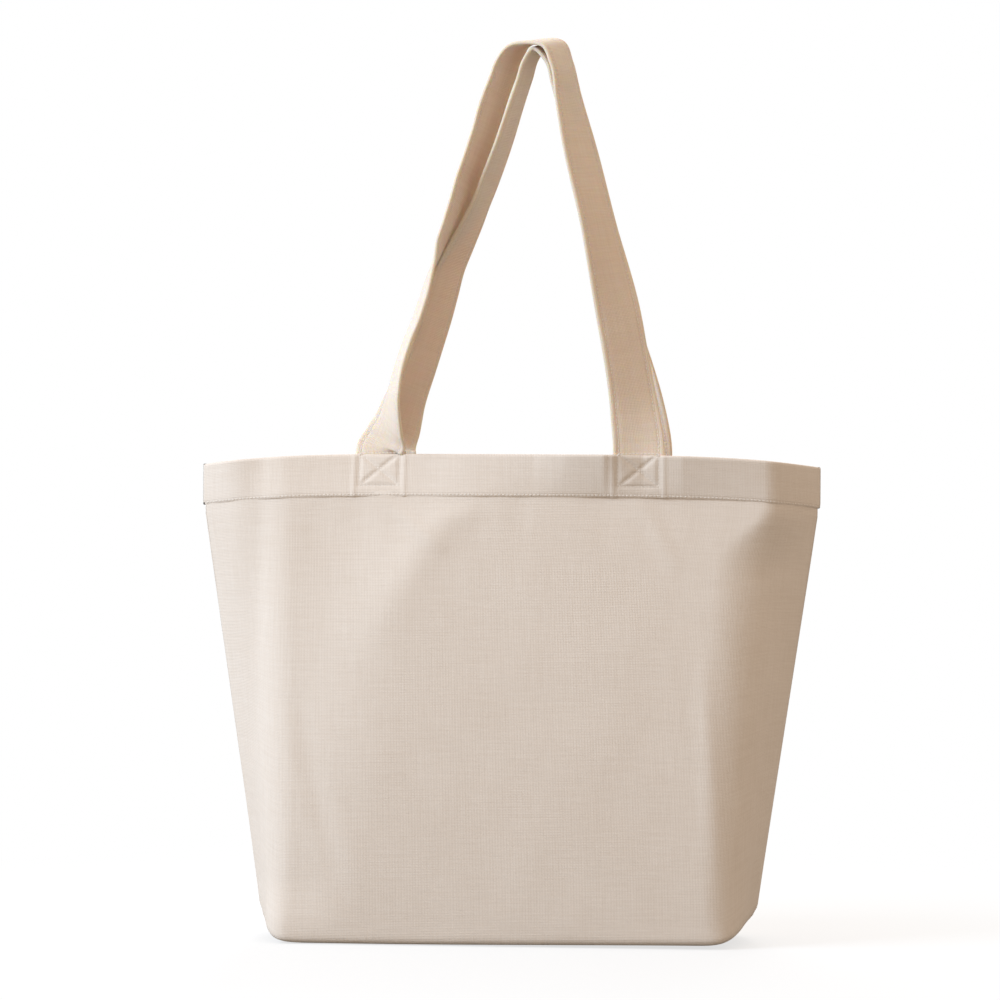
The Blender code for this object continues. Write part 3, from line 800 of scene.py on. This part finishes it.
def hem_place(along, height, inward, label):
    """A point of the hem: along the mouth, height share above the hem line, inward from its face."""
    x = float(np.interp(along, MOUTH_STOPS, MOUTH_X))
    y = float(np.interp(along, MOUTH_STOPS, MOUTH_Y))
    outward = hem_out(along)
    z = hem_line(x) + (rim_line(x) - hem_line(x)) * height
    to_end = max(min(along, MOUTH_RUN - along), 0.0)
    inward += HEM_END_SINK * math.exp(-(to_end / 0.002) ** 2)
    place = Vector((x, y, z)) - outward * inward
    if inward < HEM_THICKNESS * 0.55:
        relief = quilting(x, z, label) + hem_wrinkles(x, z, label)
        place += outward * relief * smooth_step(to_end, 0.001, 0.008)
    if label == "front":
        place.y += mouth_shift(x, z) * smooth_step(-y, 0.0, SEAM_CALM)
    place.y = min(place.y, -GAP / 2)
    return place


def hem_strip(label):
    """The hem as a bmesh, with a valley where its row of stitches runs."""
    def place(along, across, out):
        share = 0.5 + across / HEM_HEIGHT
        inward = HEM_THICKNESS / 2 - out
        if out > 0:
            from_row = share * HEM_HEIGHT - HEM_ROW_UP
            inward += ROW_VALLEY * math.exp(-(from_row / ROW_VALLEY_WIDTH) ** 2)
        return hem_place(along, share, inward, label)

    return rolled_strip(MOUTH_RUN, HEM_HEIGHT, HEM_THICKNESS, HEM_STEPS, HEM_AROUND, place)


for label in ("front", "back"):
    bm = hem_strip(label)
    if label == "back":
        turn_to_back(bm)
    band = finished_piece(label + "_hem_band", bm, natural_duck)
    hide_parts(label + "_hem")
    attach(band, "bag")
    print(band.name, len(band.data.polygons), "faces")

# %% [markdown]
# ## Stitches
# A lockstitch shows as a row of short threads, each a few millimetres long, that dive into the cloth
# at both ends. Each one is a tiny stretched ball with 18 faces, because there are hundreds of them.
# They are placed from two end points and the direction out of the cloth.

# %% Sew a row of stitches
STITCH_PITCH = 0.0030
STITCH_SHARE = 0.84         # the thread shows along this much of each pitch
THREAD_WIDTH = 0.00075
ROW_SUNK, CROSS_SUNK = 0.00035, 0.00012    # how deep each kind of row lies in the hem
ROW_INSET = 0.003           # the hem's row starts this far from the side seams


def one_stitch():
    """A ball one unit long, wide and high, ready to be stretched into every stitch."""
    bm = bmesh.new()
    bmesh.ops.create_uvsphere(bm, u_segments=6, v_segments=4, radius=0.5)
    bmesh.ops.rotate(bm, verts=bm.verts, cent=(0.0, 0.0, 0.0), matrix=Matrix.Rotation(math.pi / 2, 3, "Y"))
    mesh = bpy.data.meshes.new("one_stitch")
    bm.to_mesh(mesh)
    bm.free()
    return mesh


ONE_STITCH = one_stitch()


def sew_stitch(bm, start, end, out, width=THREAD_WIDTH):
    """One visible stitch from start to end, bedded in the cloth that faces out."""
    along = end - start
    side = out.cross(along).normalized()
    up = along.normalized().cross(side)
    turn = Matrix((along.normalized(), side, up)).transposed().to_4x4()
    size = Matrix.Diagonal((along.length * STITCH_SHARE, width, width * 0.8, 1.0))
    middle = (start + end) / 2 + up * width * 0.12
    stretched = ONE_STITCH.copy()
    stretched.transform(Matrix.Translation(middle) @ turn @ size)
    bm.from_mesh(stretched)
    bpy.data.meshes.remove(stretched)


def sew_row(bm, points, outs):
    """Stitches at the even pitch along a route of close points."""
    runs = [0.0]
    for before, after in zip(points, points[1:]):
        runs.append(runs[-1] + (after - before).length)
    count = max(1, round(runs[-1] / STITCH_PITCH))
    table = np.array([tuple(point) for point in points])
    faces = np.array([tuple(out) for out in outs])

    def at(values, run):
        return Vector([float(np.interp(run, runs, values[:, i])) for i in range(3)])

    for k in range(count):
        start, end = runs[-1] * k / count, runs[-1] * (k + 1) / count
        sew_stitch(bm, at(table, start), at(table, end), at(faces, (start + end) / 2).normalized())
    return count


for label in ("front", "back"):
    bm = bmesh.new()
    stops = np.linspace(ROW_INSET, MOUTH_RUN - ROW_INSET, 400)
    points = [hem_place(stop, HEM_ROW_UP / HEM_HEIGHT, ROW_SUNK, label) for stop in stops]
    count = sew_row(bm, points, [hem_out(stop) for stop in stops])
    if label == "back":
        turn_to_back(bm)
    row = finished_piece(label + "_hem_stitches", bm, sewing_thread)
    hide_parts(label + "_hem_stitch")
    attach(row, "bag")
    print(row.name, count, "stitches")

# %% Sew the squares and crosses
def along_of_x(x):
    return float(np.interp(x, MOUTH_X, MOUTH_STOPS))


def on_hem(x, z, label):
    along = along_of_x(x)
    share = (z - hem_line(x)) / (rim_line(x) - hem_line(x))
    return hem_place(along, share, CROSS_SUNK, label)


for label in ("front", "back"):
    for end, lines in zip(("left", "right"), SQUARES[label]):
        bm = bmesh.new()
        count = 0
        for (ax, az), (bx, bz) in lines:
            steps = np.linspace(0.0, 1.0, 14)
            points = [on_hem(ax + (bx - ax) * t, az + (bz - az) * t, label) for t in steps]
            count += sew_row(bm, points, [hem_out(along_of_x(ax + (bx - ax) * t)) for t in steps])
        if label == "back":
            turn_to_back(bm)
        node = f"{label}_{end}_box_stitch"
        square = finished_piece(f"{label}_{end}_cross_stitches", bm, sewing_thread)
        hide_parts(node)
        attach(square, "bag")
        print(square.name, count, "stitches")

# %% [markdown]
# ## Strap handles
# A strap is a strip of the same duck folded in four, pressed flat and stitched down both edges. Each
# one leaves the inside of the hem, twists about a quarter turn on the way up and crosses the other at
# the top. The route is a smooth curve through a few stations: place, and turn of the strap's flat
# about the upright. The strap is a rolled strip laid on that route, with the two stitched lines as
# shallow valleys.

# %% Routes of the handles
STRAP_WIDTH = 0.040
STRAP_THICKNESS = 0.0030
ANKLE = 0.004
ANKLE_TURN = {"front": 11, "back": 8}
CROWN_TILT = math.radians(9)
STRAP_STEPS = 330
STRAP_AROUND = 84
EDGE_ROW = 0.0045           # stitched line to strap edge
EDGE_ROW_INSET = 0.006      # the stitched lines start this far from the strap's ends
STITCH_PROUD = 0.00004
SEWN_STRAIGHT = 0.012       # below the rim the strap lies flat behind the hem
STRAP_VALLEY, STRAP_VALLEY_WIDTH = 0.00035, 0.0009
STRAP_PUFF = 0.00018
STRAP_UNEVEN = 0.00035

FRONT_ROUTE = (
    (-0.0968, -0.0250, 0.3880, 26),
    (-0.0936, -0.0250, 0.3980, 50),
    (-0.0911, -0.0250, 0.4110, 64),
    (-0.0893, -0.0245, 0.4240, 73),
    (-0.0855, -0.0230, 0.4430, 78),
    (-0.0793, -0.0210, 0.4630, 80),
    (-0.0722, -0.0180, 0.4820, 80),
    (-0.0666, -0.0140, 0.5010, 80),
    (-0.0618, -0.0100, 0.5200, 84),
    (-0.0557, -0.0050, 0.5390, 98),
    (-0.0473, -0.0010, 0.5580, 107),
    (-0.0408, 0.0020, 0.5740, 112),
    (-0.0342, 0.0055, 0.5930, 116),
    (-0.0276, 0.0075, 0.6120, 117),
    (-0.0214, 0.0085, 0.6320, 117),
    (-0.0171, 0.0090, 0.6480, 117),
    (-0.0090, 0.0090, 0.6710, 117),
    (-0.0030, 0.0070, 0.6860, 117),
    (0.0038, 0.0040, 0.6955, 115),
    (0.0182, 0.0000, 0.6990, 117),
    (0.0315, -0.0050, 0.6965, 113),
    (0.0385, -0.0080, 0.6820, 111),
    (0.0445, -0.0095, 0.6540, 116),
    (0.0535, -0.0130, 0.6160, 125),
    (0.0690, -0.0180, 0.5540, 129),
    (0.0855, -0.0215, 0.4820, 147),
    (0.0898, -0.0225, 0.4590, 147),
    (0.0980, -0.0250, 0.4100, 157),
)
BACK_ROUTE = (
    (-0.0904, 0.0265, 0.3980, 32),
    (-0.0862, 0.0265, 0.4110, 42),
    (-0.0815, 0.0268, 0.4240, 50),
    (-0.0752, 0.0275, 0.4430, 52),
    (-0.0688, 0.0282, 0.4630, 53),
    (-0.0628, 0.0286, 0.4820, 54),
    (-0.0573, 0.0285, 0.5010, 55),
    (-0.0515, 0.0268, 0.5200, 57),
    (-0.0426, 0.0240, 0.5390, 61),
    (-0.0331, 0.0210, 0.5580, 67),
    (-0.0258, 0.0190, 0.5740, 72),
    (-0.0183, 0.0170, 0.5930, 72),
    (-0.0075, 0.0140, 0.6220, 74),
    (0.0010, 0.0110, 0.6480, 76),
    (0.0088, 0.0080, 0.6710, 77),
    (0.0136, 0.0055, 0.6855, 77),
    (0.0212, 0.0030, 0.6948, 76),
    (0.0318, 0.0010, 0.6850, 76),
    (0.0370, 0.0010, 0.6680, 75),
    (0.0490, 0.0085, 0.6160, 82),
    (0.0800, 0.0170, 0.5060, 122),
    (0.1010, 0.0250, 0.4190, 152),
)


def sewn_ends(label):
    """Middle x, depth and lowest z of a handle's two sewn ends, from the model."""
    ends = []
    for end in ("left", "right"):
        low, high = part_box(f"{label}_handle_{end}_end")
        ends.append(((low.x + high.x) / 2, (low.y + high.y) / 2, low.z))
    return ends


def handle_stations(label, route):
    """The whole route, from one sewn end inside the hem up over the top and down to the other."""
    (left, left_y, left_z), (right, right_y, right_z) = sewn_ends(label)
    start = [(left, left_y, left_z, 0), (left, left_y, RIM_HEIGHT - SEWN_STRAIGHT, 0),
             (left, left_y, RIM_HEIGHT, 0), (left, left_y, RIM_HEIGHT + ANKLE, ANKLE_TURN[label])]
    end = [(right, right_y, RIM_HEIGHT + ANKLE, 176), (right, right_y, RIM_HEIGHT, 180),
           (right, right_y, RIM_HEIGHT - SEWN_STRAIGHT, 180), (right, right_y, right_z, 180)]
    return start + list(route) + end


def smooth_route(stations, steps):
    """Evenly spaced points on a smooth curve through the stations, and the curve's length."""
    knots = np.array(stations, dtype=float)
    run = np.concatenate(([0.0], np.cumsum(np.linalg.norm(np.diff(knots[:, :3], axis=0), axis=1))))
    slope = np.gradient(knots, run, axis=0)
    points = []
    for stop in np.linspace(0.0, run[-1], steps + 1):
        i = min(int(np.searchsorted(run, stop, side="right")) - 1, len(run) - 2)
        span = run[i + 1] - run[i]
        t = (stop - run[i]) / span
        rise = t * t * (3 - 2 * t)
        between = knots[i] * (1 - rise) + knots[i + 1] * rise
        pull = slope[i] * t * (1 - t) ** 2 + slope[i + 1] * t * t * (t - 1)
        points.append(between + pull * span)
    return np.array(points), run[-1]


def strap_frames(label, route, side):
    """Centre, width direction and out direction of the strap at every step of its route."""
    points, length = smooth_route(handle_stations(label, route), STRAP_STEPS)
    centres = []
    for x, y, z, _ in points:
        shift = mouth_shift(x, z) if label == "front" else 0.0
        centres.append(Vector((x, y + shift, z)))
    frames = []
    for i, point in enumerate(points):
        before, after = centres[max(i - 1, 0)], centres[min(i + 1, STRAP_STEPS)]
        tangent = (after - before).normalized()
        turn = side * math.radians(point[3])
        flat = math.cos(CROWN_TILT)
        tilt = side * math.sin(CROWN_TILT) * smooth_step(point[2], RIM_HEIGHT, RIM_HEIGHT + 0.02)
        wide = Vector((math.cos(turn) * flat, math.sin(turn) * flat, tilt))
        wide = (wide - tangent * wide.dot(tangent)).normalized()
        frames.append((centres[i], wide, tangent.cross(wide)))
    return frames, length


# %% Lay the straps
def strap_relief(along, across, out):
    """Stitched valleys near both edges, the soft folded layers between, and a little unevenness."""
    to_row = abs(abs(across) - (STRAP_WIDTH / 2 - EDGE_ROW))
    valley = -STRAP_VALLEY * math.exp(-(to_row / STRAP_VALLEY_WIDTH) ** 2)
    puff = STRAP_PUFF * smooth_step(to_row, 0.0, 0.004)
    uneven = STRAP_UNEVEN * noise.noise(Vector((along * 22.0, across * 50.0, 3.3 if out > 0 else 9.1)))
    return (valley + puff + uneven) * (1.0 if out > 0 else -1.0)


def strap_place(frames, length, along, across, out):
    """A point of the strap between two frames of its route."""
    step = min(max(along / length * STRAP_STEPS, 0.0), STRAP_STEPS)
    i = min(int(step), STRAP_STEPS - 1)
    centre, wide, through = (a.lerp(b, step - i) for a, b in zip(frames[i], frames[i + 1]))
    relief = strap_relief(along, across, out) if abs(out) > STRAP_THICKNESS * 0.49 else 0.0
    return centre + wide.normalized() * across + through.normalized() * (out + relief)


for label, side, route in (("front", -1.0, FRONT_ROUTE), ("back", 1.0, BACK_ROUTE)):
    frames, length = strap_frames(label, route, side)

    def on_route(along, across, out):
        return strap_place(frames, length, along, across, out)

    bm = rolled_strip(length, STRAP_WIDTH, STRAP_THICKNESS, STRAP_STEPS, STRAP_AROUND, on_route)
    strap = finished_piece(label + "_handle_strap", bm, strap_duck)
    body = label + "_handle"
    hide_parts(body, f"{body}_left_end", f"{body}_right_end")
    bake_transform(strap)

    bm = bmesh.new()
    count = 0
    stops = np.linspace(EDGE_ROW_INSET, length - EDGE_ROW_INSET, 3 * STRAP_STEPS)
    for across in (EDGE_ROW - STRAP_WIDTH / 2, STRAP_WIDTH / 2 - EDGE_ROW):
        for face in (1.0, -1.0):
            sunk = face * (STRAP_THICKNESS / 2 + STITCH_PROUD)
            points = [strap_place(frames, length, stop, across, sunk) for stop in stops]
            outs = [(strap_place(frames, length, stop, across, face * STRAP_THICKNESS / 2)
                     - strap_place(frames, length, stop, across, 0.0)).normalized() for stop in stops]
            count += sew_row(bm, points, outs)
    rows = finished_piece(label + "_handle_edge_stitches", bm, sewing_thread)
    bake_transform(rows)
    print(strap.name, round(length * 1000), "mm long,", count, "edge stitches")

# %% [markdown]
# ## Seam edges inside
# Where the panels meet, a centimetre of each is left inside and overlocked: the side seams stand in
# from both sides, the boxed corners have a seam across each end of the base, and the centre seam of
# the base is pressed flat. They are seen only into the open mouth. Each is a rolled strip along its
# seam, a little wavy, with slanting overlock threads over its free edge.

# %% Seam edges
SEAM_ALLOWANCE = 0.010
SEAM_THICKNESS = 0.0024
DIAGONAL = math.sqrt(0.5)   # each part of a direction that points half up and half out
SEAM_AROUND = 22
SEAM_WAVE = 0.0005
OVERLOCK_PITCH = 0.0026
OVERLOCK_SLANT = 0.0008
OVERLOCK_IN, OVERLOCK_OUT = 0.0034, 0.0002    # where each thread ends, from the free edge
OVERLOCK_THREAD = 0.0006


def seam_strip(name, node, centres, across, out, length, width, both_edges=False):
    """A seam allowance along a route: centres(t), its width direction and its thickness direction."""
    steps = max(8, int(length / 0.002))

    def place(along, over, through):
        t = along / length
        wave = SEAM_WAVE * math.sin(along * 210.0) * smooth_step(over, 0.0, width / 2) if over > 0 else 0.0
        return centres(t) + across * over + out * (through + wave)

    bm = rolled_strip(length, width, SEAM_THICKNESS, steps, SEAM_AROUND, place)
    edges = finished_piece(name, bm, raw_edges)
    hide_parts(node)
    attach(edges, "bag")

    bm = bmesh.new()
    count = int(length / OVERLOCK_PITCH)
    for k in range(count):
        along = length * (k + 0.5) / count
        for sign in ((1.0, -1.0) if both_edges else (1.0,)):
            for face in (1.0, -1.0):
                face_out = face * SEAM_THICKNESS / 2
                inner = place(along - OVERLOCK_SLANT, sign * (width / 2 - OVERLOCK_IN), face_out)
                outer = place(along + OVERLOCK_SLANT, sign * (width / 2 - OVERLOCK_OUT), face_out)
                sew_stitch(bm, inner, outer, out * face, OVERLOCK_THREAD)
    threads = finished_piece(name.replace("_edges", "_overlock"), bm, sewing_thread)
    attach(threads, "bag")
    print(name, round(length * 1000), "mm")


for label, side in (("left", -1.0), ("right", 1.0)):
    low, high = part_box(label + "_side_seam")

    def side_centre(t, side=side, low=low, high=high):
        z = low.z + (high.z - low.z) * t
        angle = math.atan2(half_depth(z), half_width(z) - CORNER_PLACE)
        clear = SEAM_THICKNESS / 2 + 3 * GAP + CANVAS / math.cos(angle)
        inset = clear / math.tan(angle) + CANVAS + SEAM_ALLOWANCE / 2
        return Vector((side * (half_width(z) - inset), 0.0, z))

    seam_strip(label + "_side_seam_edges", label + "_side_seam", side_centre, Vector((-side, 0.0, 0.0)),
               Vector((0.0, 1.0, 0.0)), high.z - low.z, SEAM_ALLOWANCE)

    corner_low, corner_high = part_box(label + "_corner_seam")

    def corner_centre(t, side=side, low=corner_low, high=corner_high):
        y = low.y + (high.y - low.y) * t
        half_size = (SEAM_ALLOWANCE + SEAM_THICKNESS) / 2 * DIAGONAL
        z = corner_seam_lift(y) + half_size + 2 * CANVAS + GAP + base_tilt(side * CORNER_PLACE)
        outline_x, outline_y = half_outline(z - half_size)
        quarter = len(outline_x) // 2
        x = float(np.interp(-abs(y), outline_y[quarter:], outline_x[quarter:]))
        x = x - half_size - 2 * CANVAS - GAP
        return Vector((side * x, y, z))

    seam_strip(label + "_corner_seam_edges", label + "_corner_seam", corner_centre,
               Vector((-side * DIAGONAL, 0.0, DIAGONAL)), Vector((side * DIAGONAL, 0.0, DIAGONAL)),
               corner_high.y - corner_low.y, SEAM_ALLOWANCE)

bottom_low, bottom_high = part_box("bottom_seam")


def bottom_centre(t):
    x = bottom_low.x + (bottom_high.x - bottom_low.x) * t
    return Vector((x, 0.0, (bottom_low.z + bottom_high.z) / 2))


seam_strip("bottom_seam_edges", "bottom_seam", bottom_centre, Vector((0.0, 1.0, 0.0)),
           Vector((0.0, 0.0, 1.0)), bottom_high.x - bottom_low.x, bottom_high.y - bottom_low.y,
           both_edges=True)
